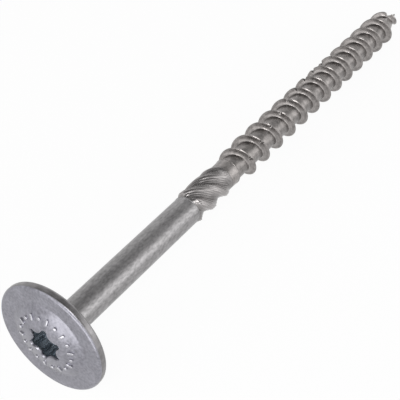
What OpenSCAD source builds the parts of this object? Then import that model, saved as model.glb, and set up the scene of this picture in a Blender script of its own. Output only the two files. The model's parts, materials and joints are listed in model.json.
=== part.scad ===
// Washer-head timber screw, 8 x 140 mm with an 80 mm thread, lying at rest.
// It is one forged and rolled piece of zinc-plated steel. The screw is first built
// standing on its head: z = 0 is the front face of the head's flange and z grows
// towards the point. Angle 0 about the axis is the underside of the lying screw.

/* [Head] */
// Diameter of the washer head
head_d = 22; // [18:0.5:26]
// Thickness of the flange at the rim
flange_h = 1.7; // [1.4:0.1:2.6]
// Radius that rounds both edges of the rim
rim_r = 0.6; // [0.2:0.05:0.65]
// Diameter of the raised dome in the middle of the head
dome_d = 15.4; // [12:0.2:17]
// Height of the dome above the flange
dome_h = 1.65; // [1.2:0.05:2.2]
// Diameter of the cone under the head, where it meets the bearing face
neck_d = 9.2; // [8.6:0.2:11]
// Length of the cone under the head
neck_h = 2.6; // [2.2:0.1:6]

/* [Drive recess] */
// Size of the six-lobe recess across two opposite lobes
drive_a = 6.75; // [5.6:0.05:6.9]
// Size of the recess between the lobes
drive_b = 4.85; // [4.4:0.05:5]
// Radius of each lobe's round end
lobe_r = 0.55; // [0.45:0.01:0.6]
// Depth of the recess with its full outline, from the top of the dome
drive_depth = 3.6; // [2.8:0.1:3.8]
// Further depth of the conical bottom
drive_cone_h = 0.6; // [0.3:0.1:0.8]
// Depth of the flared mouth below the dome
flare_h = 0.55; // [0.3:0.05:0.8]
// Width that the flare adds all round at the mouth
flare_w = 0.24; // [0.1:0.02:0.3]
// Turn of the recess about the axis
drive_turn = 5; // [0:1:59]

/* [Shank] */
// Length from the flange's front face to the point
length = 140; // [125:1:200]
// Diameter of the smooth shank
shank_d = 5.9; // [5.6:0.05:6.3]
// Radius of the raised lip that rolling leaves at the end of a smooth stretch
lip_r = 0.13; // [0.06:0.01:0.2]

/* [Shank cutter] */
// Length of the ribbed cutter between shank and collar
cutter_l = 12.2; // [8:0.2:16]
// Diameter over the cutter's ribs
cutter_d = 6.85; // [6.4:0.05:7.6]
// Diameter between the cutter's ribs
cutter_core_d = 5; // [4.8:0.05:5.4]
// Number of ribs
ribs = 4; // [3:1:6]
// Axial length in which a rib would go once round
rib_lead = 21; // [15:0.5:40]
// Turn of the ribs about the axis
rib_turn = 73; // [0:1:119]
// Length in which a rib rises at the shank
rib_rise = 1.2; // [0.6:0.1:2.5]
// Length of a rib's round nose at the collar
rib_nose = 2.4; // [0.8:0.1:3.2]
// Length in which the core between the ribs widens to the collar
core_run_out = 1.8; // [0.8:0.1:2.6]

/* [Collar] */
// Length of the plain collar between the cutter and the thread
collar_l = 2.8; // [2:0.1:8]
// Diameter of the collar
collar_d = 5.84; // [5.6:0.02:6.3]

/* [Thread] */
// Length of the thread with the point, from the collar to the end
thread_l = 83.8; // [60:0.2:100]
// Outer diameter of the thread
thread_d = 8; // [7.4:0.1:9]
// Diameter of the thread's core
core_d = 5.3; // [5:0.05:5.7]
// Pitch of the single right-hand thread
pitch = 5.7; // [4.5:0.1:7]
// Width of the flat on the crest
crest_w = 0.45; // [0.2:0.05:1]
// Width of each flank along the axis
flank_w = 0.7; // [0.4:0.05:1.1]
// Distance from the collar to the first crest on the underside
first_crest = 0.52; // [0.4:0.02:1.5]
// Part of a turn in which the ridge rises to its full height
run_in = 0.62; // [0.2:0.02:0.8]

/* [Crest notches] */
// Depth of the V notch in the crest, on the head's side
notch_depth = 0.9; // [0.2:0.05:1.2]
// Slope of the notch across the crest, up towards the point
notch_lean = 1; // [0:0.1:2]
// Angle about the axis of the first notch
notch_start = 232.5; // [180:7.5:300]
// Angle about the axis from one notch to the next
notch_step = 345; // [300:7.5:420]

/* [Point] */
// Length of the tapering point
point_l = 8.8; // [7:0.1:12]
// Length of the flute milled into the point
flute_l = 6.2; // [3:0.1:7]
// Distance of the flute's two walls from the axis
flute_d = 0.45; // [0.2:0.05:1]
// Direction of the flute's inner corner about the axis
flute_turn = 165; // [0:5:355]

/* [Hidden] */
steel = [0.60, 0.60, 0.62];
arc_fn = 48;
eps = 0.01;

head_r = head_d / 2;
thread_r = thread_d / 2;
core_r = core_d / 2;
thread_z = length - thread_l;
collar_z = thread_z - collar_l;
cutter_z = collar_z - cutter_l;
taper_z = length - point_l;

// The dome is a cap of a sphere.
dome_r = dome_d / 2;
ball_r = (dome_r * dome_r + dome_h * dome_h) / (2 * dome_h);
function dome_z(r) = ball_r - dome_h - sqrt(ball_r * ball_r - r * r);

// Screw line of the crest: its place along the axis at an angle counted on from the
// first crest of the underside. The last turn is drawn out towards the point.
steps = 48;
first_step = -steps;
draw_out = 0.072;
function line_z(i) = thread_z + first_crest + pitch * i / steps;
function past_taper(z) = max(0, z - taper_z);
function crest_z(i) = line_z(i) + draw_out * pow(past_taper(line_z(i)), 2);
ridge_end = 1.2;
drawn_l = (sqrt(1 + 4 * draw_out * (point_l - ridge_end)) - 1) / (2 * draw_out);
last_step = floor((taper_z + drawn_l - line_z(0)) * steps / pitch);

// Radius of the core and of the crest along the axis. Inside the collar the core is
// slimmer, so that only the collar's end face meets the threaded stretch. In the point
// both shrink with a power of the share of its length that lies behind.
core_power = 1.2;
crest_power = 1.5;
bury = 0.4;
core_bury_r = cutter_core_d / 2 - bury / 2;
function share(z) = min(1, past_taper(z) / point_l);
function core_at(z) = z < thread_z - bury ? core_bury_r : core_r * (1 - pow(share(z), core_power)) + eps;
function crest_limit(z) = thread_r * (1 - pow(share(z), crest_power));
function ease(t) = let (u = max(0, min(1, t))) u * u * (3 - 2 * u);
turns_before = 0.1;
function rise(i) = ease((i / steps + turns_before) / run_in);
function crest_at(i) = let (c = core_at(crest_z(i)))
    c + max(0, crest_limit(crest_z(i)) - c) * rise(i);

// A V notch in the crest comes at every notch_step, from notch_start on.
step_deg = 360 / steps;
notch_first_step = round(notch_start / step_deg);
notch_each = round(notch_step / step_deg);
notch_limit = 0.8;
function ridge_h(i) = crest_at(i) - core_at(crest_z(i));
function notched(i) = i >= notch_first_step && (i - notch_first_step) % notch_each == 0;
function notch_cut(i) = notched(i) ? min(notch_depth, ridge_h(i) * notch_limit) : 0;

// Section of the ridge at one step: foot, hollow of the flank, crest flat, hollow, foot.
// Near the point the ridge gets narrower with its height, but not below least_swell.
least_swell = 0.3;
hollow_h = 0.38;
hollow_w = 0.25;
function swell(i) = min(1, max(least_swell, ridge_h(i) / (thread_r - core_r)));
function at_core(z) = [core_at(z), z];
function in_hollow(z, top) = [core_at(z) + (top - core_at(z)) * hollow_h, z];
function section(i) = let (
        z = crest_z(i),
        half = crest_w / 2 * swell(i),
        flank = flank_w * swell(i),
        head_top = crest_at(i) - notch_cut(i),
        point_top = crest_at(i) - max(0, notch_cut(i) - notch_lean * 2 * half)
    ) [
        at_core(z - half - flank),
        in_hollow(z - half - flank * hollow_w, head_top),
        [head_top, z - half],
        [point_top, z + half],
        in_hollow(z + half + flank * hollow_w, point_top),
        at_core(z + half + flank)
    ];
function turned(p, a) = [p[0] * cos(a), p[0] * sin(a), p[1]];

// Tilt at which the rim and a crest of radius r at z touch one floor.
rim_z = flange_h - rim_r;
rim_c = head_r - rim_r;
function rest_tilt(z, r) = atan((rim_c - r) / (z - rim_z)) + asin(rim_r / norm([z - rim_z, rim_c - r]));
under_steps = [for (i = [steps : steps : last_step]) i];
tilt = min([for (i = under_steps) rest_tilt(crest_z(i) + crest_w / 2, crest_at(i))]);
axis_h = rim_z * sin(tilt) + rim_c * cos(tilt) + rim_r;

// Ends of the lying screw along X, for an origin in the middle of its length.
mouth_r = drive_b / 2 + flare_w;
head_end = dome_z(mouth_r) * cos(tilt) - mouth_r * sin(tilt);
point_end = length * cos(tilt);
mid_x = (head_end + point_end) / 2;

// Half outline of the head: flange with a round rim, dome, and cone below.
module head_outline() {
    square([head_r - rim_r, flange_h]);
    translate([0, rim_r])
        square([head_r, flange_h - 2 * rim_r]);
    for (z = [rim_r, flange_h - rim_r])
        translate([head_r - rim_r, z])
            circle(r = rim_r, $fn = arc_fn);
    intersection() {
        translate([0, ball_r - dome_h])
            circle(r = ball_r, $fn = 4 * arc_fn);
        translate([0, -dome_h])
            square([dome_r, dome_h + eps]);
    }
    polygon([
        [0, flange_h - eps], [neck_d / 2, flange_h - eps],
        [shank_d / 2, flange_h + neck_h], [0, flange_h + neck_h]
    ]);
}

// Smooth cylinder along the axis with the raised lip at its far end.
module smooth_outline(r, z0, z1) {
    translate([0, z0])
        square([r, z1 - z0]);
    translate([r, z1 - lip_r])
        circle(r = lip_r, $fn = arc_fn / 4);
}

module plain_body() {
    rotate_extrude($fn = arc_fn)
        intersection() {
            union() {
                head_outline();
                smooth_outline(shank_d / 2, flange_h, cutter_z);
                smooth_outline(collar_d / 2, collar_z, thread_z);
            }
            translate([0, -2 * dome_h])
                square([head_d, length]);
        }
}

// Six-lobe outline: round lobes outside and round bulges between them, each arc
// tangent to the next.
module six_lobe() {
    lobe_c = drive_a / 2 - lobe_r;
    b = drive_b / 2;
    k = cos(30);
    bulge_r = (lobe_c * lobe_c + b * b - 2 * lobe_c * b * k - lobe_r * lobe_r)
        / (2 * (lobe_r - b + lobe_c * k));
    bulge_c = b + bulge_r;
    difference() {
        polygon([for (i = [0 : 11])
            let (r = i % 2 == 0 ? lobe_c : bulge_c)
            [r * cos(30 * i), r * sin(30 * i)]]);
        for (i = [0 : 5])
            rotate(30 + 60 * i)
                translate([bulge_c, 0])
                    circle(r = bulge_r, $fn = arc_fn);
    }
    for (i = [0 : 5])
        rotate(60 * i)
            translate([lobe_c, 0])
                circle(r = lobe_r, $fn = arc_fn / 2);
}

// The recess with its straight walls and conical floor, and the flare that its mouth opens in.
module drive_recess() {
    over = 1;
    floor_z = drive_depth - dome_h;
    flare_z = dome_z(drive_a / 2) + flare_h;
    intersection() {
        rotate(drive_turn)
            translate([0, 0, -dome_h - over])
                linear_extrude(height = dome_h + over + floor_z + drive_cone_h)
                    six_lobe();
        rotate_extrude($fn = arc_fn)
            polygon([
                [0, -dome_h - over], [drive_a, -dome_h - over],
                [drive_a, floor_z], [drive_a / 2 + eps, floor_z],
                [0, floor_z + drive_cone_h]
            ]);
    }
    rotate(drive_turn)
        translate([0, 0, flare_z])
            mirror([0, 0, 1])
                linear_extrude(height = flare_h + over, scale = 1 + flare_w / flare_h
                    * (flare_h + over) / (drive_a / 2))
                    six_lobe();
}

// Cutter: ribs that wind steeply round a slimmer core, as rings that turn with them.
// A rib has a flat land in its middle and sides that fall to a sharp valley.
rib_points = 8;
rib_rings = 26;
rib_land = 0.125;
rib_hollow = 1.35;
end_r = collar_d / 2 - 2 * eps;
function rib_shape(u) = pow(min(1, (0.5 - abs(u - 0.5)) / (0.5 - rib_land)), rib_hollow);
function rib_height(z) = ease((z - cutter_z) / rib_rise) * sqrt(ease((collar_z - z) / rib_nose));
function cutter_core(z) = let (r = cutter_core_d / 2)
    r + (end_r - r) * ease((z - collar_z) / core_run_out + 1);
function cutter_r(z, u) = let (core = cutter_core(z))
    core + (cutter_d / 2 - core) * rib_shape(u) * rib_height(z);
module cutter() {
    n = ribs * rib_points;
    z0 = cutter_z - bury;
    dz = (cutter_l + 2 * bury) / rib_rings;
    points = [
        for (j = [0 : rib_rings])
            for (i = [0 : n - 1])
                let (z = z0 + j * dz, a = 360 * i / n + rib_turn + 360 * (z - cutter_z) / rib_lead)
                turned([cutter_r(z, (i % rib_points) / rib_points), z], a)
    ];
    sides = [
        for (j = [0 : rib_rings - 1])
            for (i = [0 : n - 1])
                let (p = j * n + i, q = j * n + (i + 1) % n)
                each [[p, p + n, q + n], [p, q + n, q]]
    ];
    bottom = [[for (i = [0 : n - 1]) i]];
    top = [[for (i = [n - 1 : -1 : 0]) rib_rings * n + i]];
    polyhedron(points = points, faces = concat(sides, bottom, top), convexity = 6);
}

// Thread, core and point: one surface that follows the screw line. The root joins each
// turn to the next, and in the last turn it runs out to the point.
module threaded_stretch() {
    k = len(section(first_step));
    n = last_step - first_step;
    points = concat(
        [for (i = [first_step : last_step]) each [for (p = section(i)) turned(p, i * step_deg)]],
        [[0, 0, crest_z(first_step) + pitch / 2], [0, 0, length]]
    );
    start = (n + 1) * k;
    tip = start + 1;
    ridge = [
        for (i = [0 : n - 1])
            for (j = [0 : k - 2])
                let (p = i * k + j, q = p + k)
                each [[p, p + 1, q + 1], [p, q + 1, q]]
    ];
    root = [
        for (i = [0 : n - steps - 1])
            let (p = i * k + k - 1, q = (i + steps) * k)
            each [[p, q, q + k], [p, q + k, p + k]]
    ];
    nose = [for (i = [n - steps : n - 1]) [i * k + k - 1, tip, (i + 1) * k + k - 1]];
    ridge_face = concat(
        [[(n - steps) * k + k - 1, n * k, tip]],
        [for (j = [0 : k - 2]) [n * k + j, n * k + j + 1, tip]]
    );
    cap = concat(
        [for (i = [0 : steps - 1]) [start, i * k, (i + 1) * k]],
        [for (j = [0 : k - 2]) [start, j + 1, j]],
        [[start, steps * k, k - 1]]
    );
    polyhedron(points = points, faces = concat(ridge, root, nose, ridge_face, cap), convexity = 12);
}

// Flute of the cutting point: two walls at a right angle, open to the end.
module flute() {
    rotate(flute_turn - 45)
        translate([flute_d, flute_d, length - flute_l])
            cube([thread_d, thread_d, flute_l + 1]);
}

module screw() {
    color(steel)
        translate([-mid_x, 0, axis_h])
            rotate([0, 90 + tilt, 0])
                union() {
                    difference() {
                        plain_body();
                        drive_recess();
                    }
                    cutter();
                    difference() {
                        threaded_stretch();
                        flute();
                    }
                }
}

screw();
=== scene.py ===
"""Washer-head timber screw of zinc-plated steel, lying at rest on a pale floor.

The screw is modelled in millimetres, standing on its head: z runs along its axis from the
front face of the flange to the point, and angle 0 about the axis is the underside of the
lying screw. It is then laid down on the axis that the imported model's mounts give.
"""

import json
import logging
import math
from dataclasses import dataclass
from enum import Enum
from typing import Callable, Sequence

import bpy
from mathutils import Matrix, Vector

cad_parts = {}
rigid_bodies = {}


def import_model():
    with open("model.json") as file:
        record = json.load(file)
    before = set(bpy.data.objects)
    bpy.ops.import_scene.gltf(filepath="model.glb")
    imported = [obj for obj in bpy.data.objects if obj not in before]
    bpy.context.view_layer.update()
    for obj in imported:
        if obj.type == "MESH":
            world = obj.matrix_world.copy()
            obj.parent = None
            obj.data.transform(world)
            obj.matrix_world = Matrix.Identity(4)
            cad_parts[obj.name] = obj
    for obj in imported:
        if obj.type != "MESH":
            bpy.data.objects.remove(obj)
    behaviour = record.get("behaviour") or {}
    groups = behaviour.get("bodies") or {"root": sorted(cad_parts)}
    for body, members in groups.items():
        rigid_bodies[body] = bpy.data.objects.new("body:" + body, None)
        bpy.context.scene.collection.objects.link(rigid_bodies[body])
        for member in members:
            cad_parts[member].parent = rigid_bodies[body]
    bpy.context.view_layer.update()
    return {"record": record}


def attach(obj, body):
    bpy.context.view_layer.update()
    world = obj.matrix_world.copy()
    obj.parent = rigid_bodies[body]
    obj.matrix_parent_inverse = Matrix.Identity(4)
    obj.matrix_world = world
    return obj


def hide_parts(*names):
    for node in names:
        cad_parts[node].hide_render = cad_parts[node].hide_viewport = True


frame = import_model()

LOG = logging.getLogger("timber_screw")
MM = 0.001
FULL_TURN = 2 * math.pi
MERGE_MM = 1e-4
WELD_MM = 5e-4

Point = tuple[float, float]
Span = tuple[float, float]
Colour = tuple[float, float, float]
Level = bpy.types.NodeSocket | float
VertexRule = Callable[[Vector], Vector]
EdgeRule = Callable[[Vector, Vector], bool]


class Cut(Enum):
    """How a tool solid acts on a workpiece."""

    ADD = "UNION"
    REMOVE = "DIFFERENCE"


class Zone(Enum):
    """Stretches of the screw with a finish of their own, in the order of material slots."""

    HEAD = 0
    RECESS = 1
    SHANK = 2
    THREAD = 3
    RIM = 4
    MARK = 5
    CUTTER = 6


def clamp(value: float, low: float = 0.0, high: float = 1.0) -> float:
    """Limits a value to a range."""
    return max(low, min(high, value))


def ease(t: float) -> float:
    """Smooth step from 0 to 1."""
    u = clamp(t)
    return u * u * (3 - 2 * u)


def radius_of(co: Vector) -> float:
    """Distance of a point from the screw's axis."""
    return math.hypot(co.x, co.y)


def angle_of(co: Vector) -> float:
    """Angle of a point about the screw's axis, in degrees from 0 to 360."""
    return math.degrees(math.atan2(co.y, co.x)) % 360


def polar(radius: float, degrees: float, z: float) -> Vector:
    """Point at a radius, an angle and a height."""
    a = math.radians(degrees)
    return Vector((radius * math.cos(a), radius * math.sin(a), z))


def direction(azimuth: float, elevation: float) -> Vector:
    """Direction from the screw to a place round it.

    Args:
        azimuth: Angle round the screw, in degrees from -Y towards +X.
        elevation: Angle above the floor, in degrees.

    Returns:
        The direction, with a length of 1.
    """
    a = math.radians(azimuth)
    e = math.radians(elevation)
    return Vector((math.sin(a) * math.cos(e), -math.cos(a) * math.cos(e), math.sin(e)))


def is_upright(a: Vector, b: Vector) -> bool:
    """Whether an edge between two points rises along the axis."""
    return abs(a.z - b.z) > MERGE_MM


class Bench:
    """Modelling steps on one mesh object, as they are done by hand."""

    @staticmethod
    def clear_selection() -> None:
        """Leaves edit mode and deselects every object."""
        if bpy.context.object and bpy.context.object.mode != "OBJECT":
            bpy.ops.object.mode_set(mode="OBJECT")
        bpy.ops.object.select_all(action="DESELECT")

    @classmethod
    def pick(cls, obj: bpy.types.Object) -> None:
        """Makes one object the only selected and active one.

        Args:
            obj: The object to work on.
        """
        cls.clear_selection()
        obj.select_set(True)
        bpy.context.view_layer.objects.active = obj

    @classmethod
    def edit(cls, obj: bpy.types.Object, mode: str = "VERT") -> None:
        """Opens an object in edit mode with everything selected.

        Args:
            obj: The object to edit.
            mode: Selection mode, VERT, EDGE or FACE.
        """
        cls.pick(obj)
        bpy.ops.object.mode_set(mode="EDIT")
        bpy.ops.mesh.select_mode(type=mode)
        bpy.ops.mesh.select_all(action="SELECT")

    @classmethod
    def edit_edges(cls, obj: bpy.types.Object, rule: EdgeRule) -> None:
        """Opens an object in edit mode with some of its edges selected.

        Args:
            obj: The object to edit.
            rule: Tells from an edge's two ends whether it is selected.
        """
        cls.edit(obj, "EDGE")
        bpy.ops.mesh.select_all(action="DESELECT")
        bpy.ops.object.mode_set(mode="OBJECT")
        corners = obj.data.vertices
        for edge in obj.data.edges:
            a, b = (corners[i].co for i in edge.vertices)
            edge.select = rule(a, b)
        bpy.ops.object.mode_set(mode="EDIT")

    @classmethod
    def merge_and_turn_out(cls) -> None:
        """In edit mode, merges doubles and turns all faces outwards."""
        bpy.ops.mesh.select_all(action="SELECT")
        bpy.ops.mesh.remove_doubles(threshold=MERGE_MM)
        bpy.ops.mesh.normals_make_consistent(inside=False)

    @classmethod
    def draw_chain(cls, name: str, points: Sequence[Point]) -> bpy.types.Object:
        """Draws an open outline by extruding one vertex from point to point.

        Args:
            name: Name of the new object.
            points: Radius and height of each point.

        Returns:
            The object, with the outline in its XZ plane.
        """
        cls.clear_selection()
        first = points[0]
        bpy.ops.mesh.primitive_plane_add(size=1, location=(first[0], 0, first[1]))
        obj = bpy.context.object
        obj.name = name
        bpy.ops.object.transform_apply(location=True)
        cls.edit(obj)
        bpy.ops.mesh.merge(type="CENTER")
        for here, there in zip(points, points[1:]):
            step = (there[0] - here[0], 0, there[1] - here[1])
            bpy.ops.mesh.extrude_region_move(TRANSFORM_OT_translate={"value": step})
        bpy.ops.object.mode_set(mode="OBJECT")
        return obj

    @classmethod
    def spin_round(cls, obj: bpy.types.Object, steps: int) -> None:
        """Spins an outline once round the Z axis into a closed solid.

        Args:
            obj: The object with the outline.
            steps: Number of steps in the full turn.
        """
        cls.edit(obj)
        bpy.ops.mesh.spin(steps=steps, angle=FULL_TURN, center=(0, 0, 0), axis=(0, 0, 1))
        cls.merge_and_turn_out()
        bpy.ops.object.mode_set(mode="OBJECT")

    @classmethod
    def wind(cls, obj: bpy.types.Object, turns: int, pitch: float, steps: int) -> None:
        """Winds an outline about the Z axis with a Screw modifier.

        Args:
            obj: The object with the outline.
            turns: Number of turns.
            pitch: Height of each turn.
            steps: Number of steps in each turn.
        """
        cls.pick(obj)
        winding = obj.modifiers.new("winding", "SCREW")
        winding.axis = "Z"
        winding.angle = FULL_TURN
        winding.screw_offset = pitch
        winding.iterations = turns
        winding.steps = steps
        winding.render_steps = steps
        bpy.ops.object.modifier_apply(modifier=winding.name)
        cls.edit(obj)
        cls.merge_and_turn_out()
        bpy.ops.object.mode_set(mode="OBJECT")

    @classmethod
    def raise_prism(cls, name: str, sides: int, levels: Sequence[float]) -> bpy.types.Object:
        """Extrudes a round disc from level to level into a closed prism of radius 1.

        Args:
            name: Name of the new object.
            sides: Number of sides.
            levels: Heights of its rings, from the lowest up.

        Returns:
            The prism.
        """
        cls.clear_selection()
        bpy.ops.mesh.primitive_circle_add(vertices=sides, radius=1, fill_type="NGON",
                                          location=(0, 0, levels[0]))
        obj = bpy.context.object
        obj.name = name
        bpy.ops.object.transform_apply(location=True)
        cls.edit(obj, "FACE")
        for low, high in zip(levels, levels[1:]):
            bpy.ops.mesh.extrude_region_move(TRANSFORM_OT_translate={"value": (0, 0, high - low)})
        bpy.ops.mesh.select_all(action="SELECT")
        bpy.ops.mesh.normals_make_consistent(inside=False)
        bpy.ops.object.mode_set(mode="OBJECT")
        return obj

    @classmethod
    def cut_flat(cls, obj: bpy.types.Object, z: float, keep_above: bool) -> None:
        """Cuts a mesh at a height and closes the cut.

        Args:
            obj: The object to cut.
            z: Height of the cut.
            keep_above: Whether the part above the cut stays.
        """
        cls.edit(obj)
        bpy.ops.mesh.bisect(plane_co=(0, 0, z), plane_no=(0, 0, 1), use_fill=True,
                            clear_inner=keep_above, clear_outer=not keep_above)
        cls.merge_and_turn_out()
        bpy.ops.object.mode_set(mode="OBJECT")

    @classmethod
    def shape(cls, obj: bpy.types.Object, rule: VertexRule) -> None:
        """Moves every vertex by a rule.

        Args:
            obj: The object to shape.
            rule: Gives a vertex's new place from its old one.
        """
        for vertex in obj.data.vertices:
            vertex.co = rule(vertex.co.copy())
        obj.data.update()

    @classmethod
    def combine(cls, work: bpy.types.Object, tool: bpy.types.Object, cut: Cut) -> None:
        """Adds a tool solid to a workpiece or takes it away, and deletes the tool.

        Args:
            work: The object that changes.
            tool: The solid that acts on it.
            cut: Whether it is added or removed.
        """
        cls.pick(work)
        action = work.modifiers.new("combine", "BOOLEAN")
        action.operation = cut.value
        action.solver = "EXACT"
        action.object = tool
        bpy.ops.object.modifier_apply(modifier=action.name)
        bpy.data.objects.remove(tool, do_unlink=True)

    @classmethod
    def weld(cls, obj: bpy.types.Object) -> None:
        """Merges the near doubles that joins leave, so that the surface stays closed.

        Args:
            obj: The joined object.
        """
        cls.edit(obj)
        bpy.ops.mesh.remove_doubles(threshold=WELD_MM)
        bpy.ops.mesh.dissolve_degenerate(threshold=MERGE_MM)
        bpy.ops.object.mode_set(mode="OBJECT")

    @classmethod
    def copy_at(cls, obj: bpy.types.Object, place: Matrix) -> bpy.types.Object:
        """Copies an object with a mesh of its own and moves that mesh.

        Args:
            obj: The object to copy.
            place: Where the copy goes.

        Returns:
            The copy.
        """
        twin = obj.copy()
        twin.data = obj.data.copy()
        bpy.context.scene.collection.objects.link(twin)
        twin.data.transform(place)
        return twin

    @classmethod
    def join(cls, objs: Sequence[bpy.types.Object]) -> bpy.types.Object:
        """Joins objects into the first one.

        Args:
            objs: The objects to join.

        Returns:
            The joined object.
        """
        cls.clear_selection()
        for obj in objs:
            obj.select_set(True)
        bpy.context.view_layer.objects.active = objs[0]
        bpy.ops.object.join()
        return objs[0]


@dataclass(frozen=True)
class Arc:
    """Points along a circular arc in the plane of radius and height."""

    centre: Point
    radius: float
    start: float
    end: float
    steps: int

    def points(self) -> list[Point]:
        """The arc's points, from its start angle to its end angle in degrees."""
        found = []
        for i in range(self.steps + 1):
            a = math.radians(self.start + (self.end - self.start) * i / self.steps)
            found.append((self.centre[0] + self.radius * math.cos(a),
                          self.centre[1] + self.radius * math.sin(a)))
        return found


@dataclass(frozen=True)
class Stations:
    """Places along the axis that the sub-assemblies share, in millimetres."""

    length: float = 140.0
    thread_l: float = 83.8
    collar_l: float = 2.8
    cutter_l: float = 12.2
    point_l: float = 8.8
    bury: float = 0.4

    @property
    def thread_z(self) -> float:
        """Start of the thread."""
        return self.length - self.thread_l

    @property
    def collar_z(self) -> float:
        """Start of the collar."""
        return self.thread_z - self.collar_l

    @property
    def cutter_z(self) -> float:
        """Start of the shank cutter, which is the end of the shank."""
        return self.collar_z - self.cutter_l

    @property
    def taper_z(self) -> float:
        """Start of the tapering point."""
        return self.length - self.point_l


@dataclass(frozen=True)
class TurnedBody:
    """Domed washer head, shank and collar, spun from one outline."""

    stations: Stations
    head_r: float = 11.0
    flange_h: float = 1.7
    rim_r: float = 0.6
    dome_r: float = 7.7
    dome_h: float = 1.65
    crease: float = 0.12
    neck_r: float = 4.6
    neck_h: float = 2.6
    neck_fillet: float = 0.4
    neck_turn: float = 60.0
    shank_r: float = 2.95
    collar_r: float = 2.92
    lip_r: float = 0.13
    lip_start: float = -60.0
    inner_r: float = 2.3
    dome_steps: int = 30
    rim_steps: int = 12
    small_steps: int = 6
    steps: int = 192

    @property
    def ball_r(self) -> float:
        """Radius of the sphere that the dome is a cap of."""
        return (self.dome_r ** 2 + self.dome_h ** 2) / (2 * self.dome_h)

    def dome_z(self, radius: float) -> float:
        """Height of the dome's surface at a radius."""
        return self.ball_r - self.dome_h - math.sqrt(self.ball_r ** 2 - radius ** 2)

    def dome_slope(self, radius: float) -> float:
        """Slope of the dome's surface at a radius, in degrees."""
        return math.degrees(math.asin(radius / self.ball_r))

    def head_outline(self) -> list[Point]:
        """Outline from the top of the dome over the rim to the end of the cone."""
        slope = self.dome_slope(self.dome_r)
        rim_c = self.head_r - self.rim_r
        back_c = self.flange_h - self.rim_r
        outline = Arc((0, self.ball_r - self.dome_h), self.ball_r, -90, -90 + slope,
                      self.dome_steps).points()
        outline.append((self.dome_r + self.crease, 0))
        outline += Arc((rim_c, self.rim_r), self.rim_r, -90, 0, self.rim_steps).points()
        outline += Arc((rim_c, back_c), self.rim_r, 0, 90, self.rim_steps).points()
        outline += Arc((self.neck_r + self.neck_fillet, self.flange_h + self.neck_fillet),
                       self.neck_fillet, -90, -90 - self.neck_turn, self.small_steps).points()
        outline.append((self.shank_r, self.flange_h + self.neck_h))
        return outline

    def lip(self, radius: float, z: float) -> list[Point]:
        """Rolled lip at the far end of a smooth stretch."""
        return Arc((radius, z - self.lip_r), self.lip_r, self.lip_start, 90, self.small_steps).points()

    def build(self) -> bpy.types.Object:
        """Spins the whole outline, from the dome to the collar's end and back to the axis."""
        s = self.stations
        outline = self.head_outline()
        outline += self.lip(self.shank_r, s.cutter_z)
        outline += [(self.inner_r, s.cutter_z), (self.inner_r, s.collar_z)]
        outline.append((self.collar_r, s.collar_z))
        outline += self.lip(self.collar_r, s.thread_z)
        outline.append((0, s.thread_z))
        body = Bench.draw_chain("turned_body", outline)
        Bench.spin_round(body, self.steps)
        return body


@dataclass(frozen=True)
class DriveRecess:
    """Six-lobe recess with a flared mouth and a conical floor."""

    head: TurnedBody
    across_lobes: float = 6.75
    between_lobes: float = 4.85
    lobe_r: float = 0.55
    depth: float = 3.6
    cone_h: float = 0.6
    lead_in: float = 0.55
    lead_w: float = 0.24
    mouth_gap: float = 0.01
    turn: float = 5.0
    half_step: float = 30.0
    sides: int = 180
    over: float = 1.0
    flare_steps: int = 12
    floor_steps: int = 4
    tip_share: float = 0.98

    @property
    def mouth_r(self) -> float:
        """Radius of the mouth on the dome."""
        return self.across_lobes / 2 + self.mouth_gap

    @property
    def mouth_z(self) -> float:
        """Height of the mouth on the dome."""
        return self.head.dome_z(self.mouth_r)

    @property
    def floor_z(self) -> float:
        """Depth at which the conical floor starts."""
        return self.depth - self.head.dome_h

    def lobe_radius(self, degrees: float) -> float:
        """Radius of the six-lobe outline: lobes with bulges between them that touch them smoothly.

        A bulge's centre lies half a step round from a lobe's, and the sine of half a step is 1/2.

        Args:
            degrees: Angle about the axis.

        Returns:
            The outline's radius there.
        """
        c = self.across_lobes / 2 - self.lobe_r
        b = self.between_lobes / 2
        k = math.cos(math.radians(self.half_step))
        bulge_r = (c * c + b * b - 2 * c * b * k - self.lobe_r ** 2) / (2 * (self.lobe_r - b + c * k))
        bulge_c = b + bulge_r
        to_bulge = Vector((bulge_c * k - c, bulge_c / 2)).normalized() * self.lobe_r
        touch = math.atan2(to_bulge.y, c + to_bulge.x)
        off = (degrees - self.turn + self.half_step) % (2 * self.half_step) - self.half_step
        a = abs(math.radians(off))
        if a < touch:
            return c * math.cos(a) + math.sqrt(self.lobe_r ** 2 - (c * math.sin(a)) ** 2)
        a = math.radians(self.half_step) - a
        return bulge_c * math.cos(a) - math.sqrt(bulge_r ** 2 - (bulge_c * math.sin(a)) ** 2)

    def wall(self, co: Vector) -> Vector:
        """Puts a point of the tool on the recess's wall, flared mouth or floor."""
        degrees = angle_of(co)
        radius = self.lobe_radius(degrees)
        drop = clamp((co.z - self.head.dome_z(radius)) / self.lead_in)
        radius += self.lead_w * (1 - drop) ** 2
        radius *= clamp((self.floor_z + self.cone_h - co.z) / self.cone_h)
        return polar(radius, degrees, co.z)

    def build(self) -> bpy.types.Object:
        """Makes the solid that is taken out of the head."""
        top = -self.head.dome_h
        flare_h = self.mouth_z + self.lead_in - top
        levels = [top - self.over]
        levels += [top + flare_h * i / self.flare_steps for i in range(self.flare_steps + 1)]
        levels += [self.floor_z + self.cone_h * i / self.floor_steps for i in range(self.floor_steps)]
        levels.append(self.floor_z + self.cone_h * self.tip_share)
        tool = Bench.raise_prism("recess_tool", self.sides, levels)
        Bench.shape(tool, self.wall)
        return tool


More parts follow.
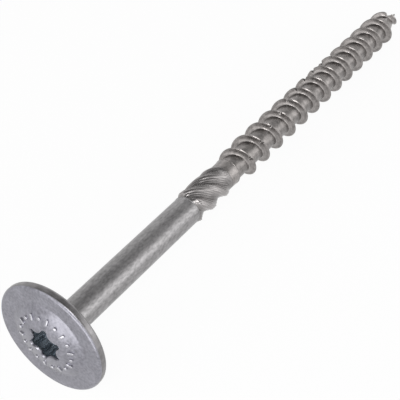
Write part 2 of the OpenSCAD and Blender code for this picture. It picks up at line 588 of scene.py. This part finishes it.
@dataclass(frozen=True)
class DomeMarks:
    """Ring of plain raised marks round the recess: radial bars with a pip between each two."""

    head: TurnedBody
    ring_r: float = 5.45
    pairs: int = 10
    bar_l: float = 1.3
    bar_w: float = 0.5
    pip_d: float = 0.7
    proud: float = 0.26
    sunk: float = 0.2
    edge: float = 0.22
    corner_share: float = 0.48
    bevel_steps: int = 4
    turn: float = 8.0

    def blank(self, name: str, length: float, width: float) -> bpy.types.Object:
        """One raised mark with rounded corners and edges, at the origin.

        Args:
            name: Name of the mark.
            length: Its length along X.
            width: Its width along Y.

        Returns:
            The mark, proud of its origin towards -Z.
        """
        Bench.clear_selection()
        height = self.proud + self.sunk
        bpy.ops.mesh.primitive_cube_add(size=1, location=(0, 0, (self.sunk - self.proud) / 2),
                                        scale=(length, width, height))
        obj = bpy.context.object
        obj.name = name
        bpy.ops.object.transform_apply(location=True, scale=True)
        self.bevel_edges(obj, width * self.corner_share, is_upright)
        self.bevel_edges(obj, self.edge, self.is_outer)
        return obj

    def is_outer(self, a: Vector, b: Vector) -> bool:
        """Whether an edge of a mark lies round its outer face."""
        return max(a.z, b.z) < -self.proud + MERGE_MM

    def bevel_edges(self, obj: bpy.types.Object, offset: float, rule: EdgeRule) -> None:
        """Bevels some of a mark's edges.

        Args:
            obj: The mark.
            offset: Width of the bevel.
            rule: Tells from an edge's two ends whether it is bevelled.
        """
        Bench.edit_edges(obj, rule)
        bpy.ops.mesh.bevel(offset=offset, segments=self.bevel_steps, affect="EDGES", clamp_overlap=True)
        bpy.ops.object.mode_set(mode="OBJECT")

    def place(self, degrees: float) -> Matrix:
        """Place of a mark on the dome at an angle, square to its surface."""
        tilt = Matrix.Rotation(math.radians(-self.head.dome_slope(self.ring_r)), 4, "Y")
        spot = Matrix.Translation((self.ring_r, 0, self.head.dome_z(self.ring_r)))
        return Matrix.Rotation(math.radians(degrees), 4, "Z") @ spot @ tilt

    def build(self) -> bpy.types.Object:
        """Makes all the marks as one object."""
        bar = self.blank("bar", self.bar_l, self.bar_w)
        pip = self.blank("pip", self.pip_d, self.pip_d)
        step = 360 / self.pairs
        marks = []
        for blank, offset in ((bar, 0), (pip, 0.5)):
            for i in range(self.pairs):
                marks.append(Bench.copy_at(blank, self.place(self.turn + step * (i + offset))))
            bpy.data.objects.remove(blank, do_unlink=True)
        return Bench.join(marks)


@dataclass(frozen=True)
class ShankCutter:
    """Steep right-hand ribs that ream the hole for the shank."""

    stations: Stations
    core_r: float = 2.5
    outer_r: float = 3.425
    collar_r: float = 2.9
    ribs: int = 4
    lead: float = 21.0
    turn: float = 73.0
    rise: float = 1.2
    nose: float = 2.4
    run_out: float = 1.8
    land: float = 0.125
    hollow: float = 1.35
    line_h: float = 0.035
    line_skew: float = 0.4
    lines: int = 9
    sides_per_rib: int = 64
    rings: int = 72

    def rib_height(self, z: float) -> float:
        """Share of a rib's full height at a place along the axis."""
        s = self.stations
        return ease((z - s.cutter_z) / self.rise) * math.sqrt(ease((s.collar_z - z) / self.nose))

    def twist_at(self, z: float) -> float:
        """How far the ribs have turned at a place along the axis, in degrees."""
        return 360 * (z - self.stations.cutter_z) / self.lead

    def twisted(self, co: Vector) -> Vector:
        """Turns a point with the ribs, so that the mesh runs along them."""
        return polar(radius_of(co), angle_of(co) + self.twist_at(co.z), co.z)

    def surface(self, co: Vector) -> Vector:
        """Puts a point on the ribbed surface, with the fine lines that rolling leaves on it."""
        degrees = angle_of(co)
        u = ((degrees - self.turn - self.twist_at(co.z)) * self.ribs / 360) % 1
        rib = clamp((0.5 - abs(u - 0.5)) / (0.5 - self.land)) ** self.hollow
        run = ease((co.z - self.stations.collar_z) / self.run_out + 1)
        core = self.core_r + (self.collar_r - self.core_r) * run
        line = self.line_h * math.sin(FULL_TURN * self.lines * u)
        line *= 1 - self.line_skew * math.sin(2 * FULL_TURN * u)
        radius = core + ((self.outer_r - core) * rib + line) * self.rib_height(co.z)
        return polar(radius, degrees, co.z)

    def build(self) -> bpy.types.Object:
        """Divides a prism into rings, twists it and lays its points on the ribs."""
        s = self.stations
        low = s.cutter_z - s.bury
        height = s.cutter_l + 2 * s.bury
        core = Bench.raise_prism("cutter", self.ribs * self.sides_per_rib, [low, low + height])
        Bench.edit_edges(core, is_upright)
        bpy.ops.mesh.subdivide_edgering(number_cuts=self.rings - 1, interpolation="LINEAR")
        bpy.ops.object.mode_set(mode="OBJECT")
        Bench.shape(core, self.twisted)
        Bench.shape(core, self.surface)
        return core


@dataclass(frozen=True)
class ThreadedStretch:
    """Single right-hand thread with a notched crest, running out into the cutting point."""

    stations: Stations
    outer_r: float = 4.0
    core_r: float = 2.65
    pitch: float = 5.7
    first_crest: float = 0.52
    crest_w: float = 0.45
    flank_w: float = 0.7
    flank_power: float = 3.4
    flank_steps: int = 9
    crest_bevel: float = 0.16
    run_in: float = 0.62
    run_in_lead: float = 0.1
    draw_out: float = 0.072
    core_power: float = 1.2
    crest_power: float = 1.5
    narrowest: float = 0.3
    notch_depth: float = 0.9
    notch_start: float = 232.5
    notch_step: float = 345.0
    notch_half: float = 8.0
    notch_lean: float = 1.0
    flute_l: float = 6.2
    flute_d: float = 0.45
    flute_round: float = 0.12
    flute_steps: int = 3
    flute_turn: float = 165.0
    steps: int = 120
    tip_gap: float = 0.03

    @property
    def crest_zero(self) -> float:
        """Place along the axis of the crest at screw angle 0."""
        return self.stations.thread_z + self.first_crest

    def drawn(self, z: float) -> float:
        """Place along the axis once the last turn is drawn out towards the point."""
        return z + self.draw_out * max(0.0, z - self.stations.taper_z) ** 2

    def share(self, z: float) -> float:
        """Share of the point's length that lies behind a place along the axis."""
        return clamp((z - self.stations.taper_z) / self.stations.point_l)

    def core_at(self, z: float) -> float:
        """Radius of the core."""
        return self.core_r * (1 - self.share(z) ** self.core_power)

    def limit_at(self, z: float) -> float:
        """Radius that the crest reaches."""
        return self.outer_r * (1 - self.share(z) ** self.crest_power)

    def notch_at(self, screw_deg: float, offset: float) -> float:
        """Depth of the leaning notch in the crest, which is deepest on the head's side.

        Args:
            screw_deg: Angle along the screw line, counted on from turn to turn.
            offset: Distance along the axis from the crest's middle.

        Returns:
            The depth below the crest.
        """
        nearest = round((screw_deg - self.notch_start) / self.notch_step)
        off = abs(screw_deg - self.notch_start - nearest * self.notch_step) / self.notch_half
        if nearest < 0 or off > 1:
            return 0.0
        deepest = clamp(self.notch_depth - self.notch_lean * (offset + self.crest_w / 2),
                        0.0, self.notch_depth)
        return deepest * (1 + math.cos(math.pi * off)) / 2

    def ridge_outline(self) -> list[Point]:
        """Outline of one pitch, as radius and distance from the crest's middle."""
        half = self.crest_w / 2
        tall = self.outer_r - self.core_r - self.crest_bevel
        foot = half + self.flank_w
        side = [(self.core_r, self.pitch / 2), (self.core_r, (self.pitch / 2 + foot) / 2)]
        for i in range(self.flank_steps + 1):
            t = i / self.flank_steps
            side.append((self.core_r + tall * t ** self.flank_power, half + self.flank_w * (1 - t)))
        side.append((self.outer_r, half - self.crest_bevel))
        headward = [(radius, -offset) for radius, offset in side]
        return headward + side[::-1]

    def formed(self, co: Vector) -> Vector:
        """Lets the ridge rise at the collar, notches it, and tapers all into the point."""
        degrees = angle_of(co)
        turns = (co.z - self.crest_zero) / self.pitch - degrees / 360
        screw_deg = degrees + 360 * round(turns)
        crest_z = self.crest_zero + self.pitch * screw_deg / 360
        offset = co.z - crest_z
        height = (radius_of(co) - self.core_r) / (self.outer_r - self.core_r)
        centre_z = self.drawn(crest_z)
        tall = max(0.0, self.limit_at(centre_z) - self.core_at(centre_z))
        full = self.outer_r - self.core_r
        narrow = clamp(tall / full, self.narrowest)
        near = clamp((self.pitch / 2 - abs(offset)) / (self.pitch / 4))
        z = self.drawn(co.z) + offset * (narrow - 1) * near
        rise = ease((screw_deg / 360 + self.run_in_lead) / self.run_in)
        top = 1 - self.notch_at(screw_deg, offset) / full
        radius = self.core_at(z) + tall * rise * min(height, top)
        return polar(radius, degrees, z)

    def flute(self) -> bpy.types.Object:
        """Block whose corner mills the flute into the point."""
        Bench.clear_selection()
        size = 2 * self.outer_r
        low = self.stations.length - self.flute_l
        middle = self.flute_d + size / 2
        corner_deg = 45
        bpy.ops.mesh.primitive_cube_add(size=size, location=(middle, middle, low + size / 2))
        block = bpy.context.object
        bpy.ops.object.transform_apply(location=True)
        Bench.edit(block, "EDGE")
        bpy.ops.mesh.bevel(offset=self.flute_round, segments=self.flute_steps, affect="EDGES")
        bpy.ops.object.mode_set(mode="OBJECT")
        block.data.transform(Matrix.Rotation(math.radians(self.flute_turn - corner_deg), 4, "Z"))
        return block

    def build(self) -> bpy.types.Object:
        """Winds one pitch of the ridge along the axis, forms it and mills the flute."""
        s = self.stations
        thread = Bench.draw_chain("thread", self.ridge_outline())
        start = self.crest_zero - 2 * self.pitch
        thread.data.transform(Matrix.Translation((0, 0, start)))
        turns = math.ceil((s.length - start) / self.pitch) + 1
        Bench.wind(thread, turns, self.pitch, self.steps)
        Bench.cut_flat(thread, s.thread_z - s.bury, keep_above=True)
        Bench.shape(thread, self.formed)
        Bench.cut_flat(thread, s.length - self.tip_gap, keep_above=False)
        Bench.combine(thread, self.flute(), Cut.REMOVE)
        return thread


class NodeDesk:
    """Lays out the shader nodes of one tree."""

    noise_span = (0.3, 0.7)

    def __init__(self, tree: bpy.types.NodeTree) -> None:
        """Takes up a tree.

        Args:
            tree: The tree that the nodes go into.
        """
        self.nodes = tree.nodes
        self.link = tree.links.new

    def maths(self, operation: str, *values: Level) -> bpy.types.NodeSocket:
        """Works out one value from others.

        Args:
            operation: What is done.
            values: Sockets or plain numbers.

        Returns:
            The result.
        """
        node = self.nodes.new("ShaderNodeMath")
        node.operation = operation
        for socket, value in zip(node.inputs, values):
            if isinstance(value, bpy.types.NodeSocket):
                self.link(value, socket)
            else:
                socket.default_value = value
        return node.outputs["Value"]

    def scaled(self, place: bpy.types.NodeSocket, factors: Vector) -> bpy.types.NodeSocket:
        """Multiplies a place by a factor along each axis."""
        node = self.nodes.new("ShaderNodeVectorMath")
        node.operation = "MULTIPLY"
        node.inputs[1].default_value = factors
        self.link(place, node.inputs[0])
        return node.outputs["Vector"]

    def axis_distance(self, place: bpy.types.NodeSocket) -> bpy.types.NodeSocket:
        """Distance of a place from the Z axis."""
        node = self.nodes.new("ShaderNodeVectorMath")
        node.operation = "LENGTH"
        self.link(self.scaled(place, Vector((1, 1, 0))), node.inputs[0])
        return node.outputs["Value"]

    def mapped(self, value: bpy.types.NodeSocket, old: Span, new: Span) -> bpy.types.NodeSocket:
        """Maps one span of values to another and keeps the result within it.

        Args:
            value: The value to map.
            old: The two ends of its span.
            new: What they become.

        Returns:
            The mapped value.
        """
        node = self.nodes.new("ShaderNodeMapRange")
        for side, span in (("From", old), ("To", new)):
            for end, limit in zip(("Min", "Max"), span):
                node.inputs[f"{side} {end}"].default_value = limit
        self.link(value, node.inputs["Value"])
        return node.outputs["Result"]

    def spread(self, noise: bpy.types.NodeSocket, middle: float, swing: float) -> bpy.types.NodeSocket:
        """Spreads noise to either side of a middle value."""
        return self.mapped(noise, self.noise_span, (middle - swing, middle + swing))

    def noise(self, place: bpy.types.NodeSocket, size: float, detail: float,
              along: float = 1.0) -> bpy.types.NodeSocket:
        """Lays noise over a place.

        Args:
            place: The place.
            size: Size of the noise's features.
            detail: How much finer detail it has.
            along: Factor on the place's Z, less than 1 to draw the features out along it.

        Returns:
            The noise, from 0 to 1.
        """
        node = self.nodes.new("ShaderNodeTexNoise")
        node.inputs["Scale"].default_value = 1.0
        node.inputs["Detail"].default_value = detail
        self.link(self.scaled(place, Vector((1, 1, along)) / size), node.inputs["Vector"])
        return node.outputs["Fac"]


@dataclass(frozen=True)
class ZincFinish:
    """Zinc plating on steel: cloudy tone and fine grain, where asked with streaks, lines and dots, and
    with painted shade and light that change with the distance from the axis.

    Sizes and radii are in millimetres; depths and tones are shares of the tint.
    """

    name: str
    tint: Colour
    roughness: float
    roughness_swing: float = 0.06
    cloud_mm: float = 3.5
    cloud_depth: float = 0.1
    cloud_drawn: float = 1.0
    cloud_detail: float = 5.0
    grain_mm: float = 0.2
    grain_height: float = 0.006
    grain_detail: float = 3.0
    speckle: float = 0.0
    streak: float = 0.0
    streak_mm: float = 0.35
    streak_along: float = 0.03
    streak_detail: float = 2.0
    # painted shade and light: factors on the tint from the inner to the outer radius of a span about the
    # axis
    painted_shade_r: Span = (0.0, 0.0)
    painted_shade_tone: Span = (1.0, 1.0)
    line_mm: float = 0.12
    line_depth: float = 0.0
    line_detail: float = 2.0
    wander_mm: float = 1.6

    def place(self, desk: NodeDesk, to_screw: Matrix) -> bpy.types.NodeSocket:
        """Place on the screw in its own millimetres.

        Args:
            desk: Lays out the nodes.
            to_screw: Turns scene metres into the screw's own millimetres.

        Returns:
            The place.
        """
        source = desk.nodes.new("ShaderNodeTexCoord")
        local = desk.nodes.new("ShaderNodeMapping")
        local.inputs["Location"].default_value = to_screw.to_translation()
        local.inputs["Rotation"].default_value = to_screw.to_euler()
        local.inputs["Scale"].default_value = (1 / MM,) * 3
        desk.link(source.outputs["Object"], local.inputs["Vector"])
        return local.outputs["Vector"]

    def painted_shade_and_lines(self, desk: NodeDesk, here: bpy.types.NodeSocket) -> list[bpy.types.NodeSocket]:
        """Painted shade and light from the core out to the crest, and the lines that rolling leaves
        round the axis.

        Args:
            desk: Lays out the nodes.
            here: Place on the screw.

        Returns:
            The two factors on the tint.
        """
        radius = desk.axis_distance(here)
        rolled = desk.nodes.new("ShaderNodeCombineXYZ")
        desk.link(desk.maths("DIVIDE", radius, self.line_mm), rolled.inputs["X"])
        desk.link(desk.noise(here, self.wander_mm, 1), rolled.inputs["Y"])
        lines = desk.noise(rolled.outputs["Vector"], 1, self.line_detail)
        return [desk.mapped(radius, self.painted_shade_r, self.painted_shade_tone), desk.spread(lines, 1, self.line_depth)]

    def colour(self, desk: NodeDesk, here: bpy.types.NodeSocket,
               grain: bpy.types.NodeSocket) -> bpy.types.NodeSocket:
        """The tint, lighter and darker from place to place, and where asked with painted shade and light
        by the distance from the axis.

        Args:
            desk: Lays out the nodes.
            here: Place on the screw.
            grain: Noise of the finish's grain.

        Returns:
            The colour.
        """
        cloud = desk.noise(here, self.cloud_mm, self.cloud_detail, 1 / self.cloud_drawn)
        level = desk.spread(cloud, 1, self.cloud_depth)
        factors = []
        # painted shade and light, darker or lighter with the distance from the axis
        if self.painted_shade_tone[0] != self.painted_shade_tone[1]:
            factors += self.painted_shade_and_lines(desk, here)
        if self.speckle:
            factors.append(desk.spread(grain, 1, self.speckle))
        for factor in factors:
            level = desk.maths("MULTIPLY", level, factor)
        tone = desk.nodes.new("ShaderNodeVectorMath")
        tone.operation = "SCALE"
        tone.inputs[0].default_value = self.tint
        desk.link(level, tone.inputs["Scale"])
        return tone.outputs["Vector"]

    def relief(self, desk: NodeDesk, here: bpy.types.NodeSocket,
               grain: bpy.types.NodeSocket) -> bpy.types.NodeSocket:
        """The grain as bumps, where asked with streaks along the screw.

        Args:
            desk: Lays out the nodes.
            here: Place on the screw.
            grain: Noise of the finish's grain.

        Returns:
            The bumped normal.
        """
        height = grain
        if self.streak:
            drawn = desk.noise(here, self.streak_mm, self.streak_detail, self.streak_along)
            height = desk.maths("MULTIPLY_ADD", drawn, self.streak, grain)
        bump = desk.nodes.new("ShaderNodeBump")
        bump.inputs["Distance"].default_value = self.grain_height * MM
        desk.link(height, bump.inputs["Height"])
        return bump.outputs["Normal"]

    def material(self, to_screw: Matrix) -> bpy.types.Material:
        """Builds the node material.

        Args:
            to_screw: Turns scene metres into the screw's own millimetres.

        Returns:
            The material.
        """
        made = bpy.data.materials.new(self.name)
        made.use_nodes = True
        desk = NodeDesk(made.node_tree)
        shader = desk.nodes["Principled BSDF"].inputs
        shader["Metallic"].default_value = 1.0
        here = self.place(desk, to_screw)
        grain = desk.noise(here, self.grain_mm, self.grain_detail)
        desk.link(self.colour(desk, here, grain), shader["Base Color"])
        desk.link(desk.spread(grain, self.roughness, self.roughness_swing), shader["Roughness"])
        desk.link(self.relief(desk, here, grain), shader["Normal"])
        return made


FINISHES = {
    Zone.HEAD: ZincFinish(
        "forged_head_zinc", (0.272, 0.269, 0.302), 0.34,
        cloud_depth=0.12, cloud_drawn=0.15, grain_mm=0.5, speckle=0.2),
    # recess: a lighter tint than the head, painted light that lifts the shaded recess
    Zone.RECESS: ZincFinish(
        "recess_zinc_painted_light", (0.36, 0.39, 0.42), 0.3, grain_height=0.001, streak=2.0),
    Zone.SHANK: ZincFinish(
        "drawn_shank_zinc", (0.292, 0.285, 0.288), 0.36,
        cloud_mm=0.45, cloud_depth=0.26, cloud_drawn=2.0, streak=0.8),
    Zone.THREAD: ZincFinish(
        "rolled_thread_zinc", (0.279, 0.262, 0.254), 0.33,
        cloud_mm=0.9, cloud_depth=0.24, grain_mm=0.4, grain_height=0.002, speckle=0.14,
        # painted light on the core between the turns and painted shade on the flank tops and crest
        painted_shade_r=(2.75, 3.4), painted_shade_tone=(1.04, 0.93), line_depth=0.28),
    # rim: a darker tint with cloudy streaks, painted shade for the dark reflections along the rim
    Zone.RIM: ZincFinish(
        "rim_zinc_painted_shade", (0.24, 0.233, 0.237), 0.34,
        cloud_mm=1.2, cloud_depth=0.22, grain_mm=0.35, speckle=0.04),
    # marks: a much lighter tint than the dome, a painted highlight on the raised marks; lower roughness
    Zone.MARK: ZincFinish(
        "mark_zinc_painted_highlight", (0.46, 0.455, 0.49), 0.2, grain_mm=0.4),
    Zone.CUTTER: ZincFinish(
        "rolled_cutter_zinc", (0.3, 0.286, 0.283), 0.29,
        cloud_mm=2.0, grain_height=0.0006, streak=0.3,
        # painted shade in the roots between the ribs and painted light on the ribs' tops
        painted_shade_r=(2.7, 3.3), painted_shade_tone=(0.78, 1.12), line_depth=0.28),
}


@dataclass
class TimberScrew:
    """The whole screw: its solids joined into one forged and rolled piece, and its finishes."""

    stations: Stations
    body: TurnedBody
    recess: DriveRecess
    marks: DomeMarks
    cutter: ShankCutter
    thread: ThreadedStretch
    deep_share: float = 0.8
    mark_proud: float = 0.03
    smooth_deg: float = 32.0

    def build(self) -> bpy.types.Object:
        """Makes the screw standing on its head, in millimetres."""
        screw = self.body.build()
        LOG.info("turned body: %d faces", len(screw.data.polygons))
        Bench.combine(screw, self.marks.build(), Cut.ADD)
        Bench.combine(screw, self.recess.build(), Cut.REMOVE)
        LOG.info("head with marks and recess: %d faces", len(screw.data.polygons))
        Bench.combine(screw, self.cutter.build(), Cut.ADD)
        LOG.info("with shank cutter: %d faces", len(screw.data.polygons))
        Bench.combine(screw, self.thread.build(), Cut.ADD)
        Bench.weld(screw)
        screw.name = "steel_screw"
        LOG.info("with thread and point: %d faces", len(screw.data.polygons))
        return screw

    def zone_of(self, co: Vector) -> Zone:
        """Finish zone of a place on the screw's surface."""
        recess = self.recess
        radius = radius_of(co)
        if radius < recess.mouth_r and co.z < recess.floor_z + recess.cone_h + MERGE_MM:
            sunk = co.z - self.body.dome_z(radius)
            # deep recess faces take the finish with painted light
            return Zone.RECESS if sunk > recess.lead_in * self.deep_share else Zone.HEAD
        if co.z < self.body.flange_h + MERGE_MM:
            return self.head_zone_of(radius, co.z)
        if co.z < self.stations.cutter_z + MERGE_MM:
            return Zone.SHANK
        return Zone.CUTTER if co.z < self.stations.collar_z else Zone.THREAD

    def head_zone_of(self, radius: float, z: float) -> Zone:
        """Finish zone of a place on the head, outside the recess."""
        body = self.body
        # the rim's zone, whose finish carries painted shade
        if radius > body.head_r - body.rim_r / 2 and z > body.rim_r / 2:
            return Zone.RIM
        proud = body.dome_z(min(radius, body.dome_r)) - z
        # raised marks take the finish with the painted highlight
        return Zone.MARK if proud > self.mark_proud else Zone.HEAD

    def dress(self, screw: bpy.types.Object, lay_down: Matrix) -> None:
        """Gives every face its zone's finish and smooths the curved ones.

        Args:
            screw: The standing screw, in millimetres.
            lay_down: Where it will lie in the scene.
        """
        to_screw = lay_down.inverted()
        for zone in Zone:
            screw.data.materials.append(FINISHES[zone].material(to_screw))
        for face in screw.data.polygons:
            face.material_index = self.zone_of(face.center).value
        Bench.pick(screw)
        bpy.ops.object.shade_smooth_by_angle(angle=math.radians(self.smooth_deg))


@dataclass(frozen=True)
class RestingPlace:
    """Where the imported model's recess mount puts the screw's axis."""

    mouth_z: float

    def matrix(self) -> Matrix:
        """Turns the standing screw's millimetres into its place in the scene, in metres."""
        mount = next(m for m in frame["record"]["mounts"] if m["name"] == "drive_recess")
        along = -Vector(mount["axis"]).normalized()
        side = Vector((0, 1, 0))
        down = side.cross(along)
        flange = Vector(mount["pos_m"]) - along * self.mouth_z * MM
        turned = Matrix((down, side, along)).transposed().to_4x4()
        return Matrix.Translation(flange) @ turned @ Matrix.Scale(MM, 4)


@dataclass(frozen=True)
class Softbox:
    """A large soft lamp that faces the screw."""

    name: str
    azimuth: float
    elevation: float
    distance: float
    width: float
    height: float
    radiance: float

    def hang(self, aim: Vector) -> None:
        """Hangs the lamp round a point that it faces.

        Args:
            aim: The point that it lights.
        """
        back = direction(self.azimuth, self.elevation)
        lamp = bpy.data.lights.new(self.name, "AREA")
        lamp.shape = "RECTANGLE"
        lamp.size = self.width
        lamp.size_y = self.height
        lamp.energy = self.radiance * math.pi * self.width * self.height
        holder = bpy.data.objects.new(self.name, lamp)
        holder.location = aim + back * self.distance
        holder.rotation_euler = (-back).to_track_quat("-Z", "Y").to_euler()
        holder.visible_camera = False
        bpy.context.scene.collection.objects.link(holder)


SOFTBOXES = (
    Softbox("box_before_head", -93, 33, 0.6, 0.8, 0.5, 0.95),
    Softbox("box_front", -22, 13, 0.6, 0.6, 0.3, 0.7),
    Softbox("box_front_right", 35, 14, 0.6, 0.6, 0.45, 1.15),
    Softbox("box_beyond_point", 108, 22, 0.7, 0.7, 0.35, 0.4),
    Softbox("box_by_camera", -60, 50, 0.7, 0.22, 0.22, 8.5),
    Softbox("strip_by_head", -85, 0.6, 0.1024, 0.045, 0.02, 1.75),
)


@dataclass(frozen=True)
class Studio:
    """Pale floor, soft surroundings, lamps and the camera.

    The head's front face is seen at head_left, head_below and head_ahead, in millimetres from
    the camera. The sky is given by height, which is 0 at the horizon and 1 overhead, and grey.
    """

    azimuth: float = -56.472
    elevation: float = 42.391
    head_left: float = 25.2221
    head_below: float = 23.4184
    head_ahead: float = 152.25
    focal_px: float = 909.75
    image_px: float = 400.0
    sensor_mm: float = 36.0
    clip: Span = (0.01, 10.0)
    floor_size: float = 4.0
    floor_grey: float = 0.8
    floor_white: float = 0.94
    lamp_aim_h: float = 0.01
    sky: tuple[Span, ...] = ((0.0, 0.95), (0.35, 0.9), (0.52, 0.8), (0.76, 0.42), (1.0, 0.2))

    def floor(self) -> None:
        """Lays the floor, which looks white to the camera and in reflections but keeps shadows."""
        Bench.clear_selection()
        bpy.ops.mesh.primitive_plane_add(size=self.floor_size)
        plane = bpy.context.object
        plane.name = "floor"
        made = bpy.data.materials.new("pale_floor")
        made.use_nodes = True
        desk = NodeDesk(made.node_tree)
        desk.nodes.remove(desk.nodes["Principled BSDF"])
        matt = desk.nodes.new("ShaderNodeBsdfDiffuse")
        matt.inputs["Color"].default_value = (self.floor_grey,) * 3 + (1,)
        white = desk.nodes.new("ShaderNodeEmission")
        white.inputs["Strength"].default_value = 1.0
        path = desk.nodes.new("ShaderNodeLightPath")
        seen = path.outputs["Is Camera Ray"]
        for kind in ("Is Glossy Ray", "Is Transmission Ray"):
            seen = desk.maths("MAXIMUM", seen, path.outputs[kind])
        mix = desk.nodes.new("ShaderNodeMixShader")
        desk.link(desk.maths("MULTIPLY", seen, self.floor_white), mix.inputs["Fac"])
        desk.link(matt.outputs["BSDF"], mix.inputs[1])
        desk.link(white.outputs["Emission"], mix.inputs[2])
        desk.link(mix.outputs["Shader"], desk.nodes["Material Output"].inputs["Surface"])
        plane.data.materials.append(made)

    def surroundings(self) -> None:
        """Soft room light: bright round the horizon and darker overhead."""
        world = bpy.data.worlds.new("soft_room")
        world.use_nodes = True
        desk = NodeDesk(world.node_tree)
        source = desk.nodes.new("ShaderNodeTexCoord")
        split = desk.nodes.new("ShaderNodeSeparateXYZ")
        desk.link(source.outputs["Generated"], split.inputs["Vector"])
        ramp = desk.nodes.new("ShaderNodeValToRGB")
        ramp.color_ramp.interpolation = "EASE"
        stops = ramp.color_ramp.elements
        for height, _ in self.sky[1:-1]:
            stops.new(height)
        for stop, (_, grey) in zip(stops, self.sky):
            stop.color = (grey,) * 3 + (1,)
        desk.link(split.outputs["Z"], ramp.inputs["Fac"])
        background = desk.nodes["Background"]
        desk.link(ramp.outputs["Color"], background.inputs["Color"])
        background.inputs["Strength"].default_value = 1.0
        bpy.context.scene.world = world

    def camera(self, head_front: Vector) -> None:
        """Places the camera by where it sees the middle of the head's front face.

        Args:
            head_front: That point in the scene.
        """
        back = direction(self.azimuth, self.elevation)
        turn = (-back).to_track_quat("-Z", "Y")
        seen = Vector((-self.head_left, -self.head_below, -self.head_ahead)) * MM
        data = bpy.data.cameras.new("camera")
        data.sensor_width = self.sensor_mm
        data.lens = self.focal_px * self.sensor_mm / self.image_px
        data.clip_start, data.clip_end = self.clip
        holder = bpy.data.objects.new("camera", data)
        holder.rotation_mode = "QUATERNION"
        holder.rotation_quaternion = turn
        holder.location = head_front - turn @ seen
        bpy.context.scene.collection.objects.link(holder)
        bpy.context.scene.camera = holder

    def set_up(self, head_front: Vector) -> None:
        """Builds the whole studio.

        Args:
            head_front: Middle of the head's front face in the scene.
        """
        self.floor()
        self.surroundings()
        for box in SOFTBOXES:
            box.hang(Vector((0, 0, self.lamp_aim_h)))
        self.camera(head_front)
        bpy.context.scene.view_settings.view_transform = "Standard"


def main() -> None:
    """Builds the screw, lays it down, dresses it and sets up the studio."""
    logging.basicConfig(level=logging.INFO, format="%(name)s: %(message)s")
    stations = Stations()
    body = TurnedBody(stations)
    recess = DriveRecess(body)
    maker = TimberScrew(stations, body, recess, DomeMarks(body), ShankCutter(stations),
                        ThreadedStretch(stations))
    lay_down = RestingPlace(recess.mouth_z).matrix()
    screw = maker.build()
    maker.dress(screw, lay_down)
    screw.data.transform(lay_down)
    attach(screw, "root")
    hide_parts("screw")
    LOG.info("screw laid down: %d vertices", len(screw.data.vertices))
    Studio().set_up(lay_down @ Vector((0, 0, 0)))


if __name__ == "__main__":
    main()
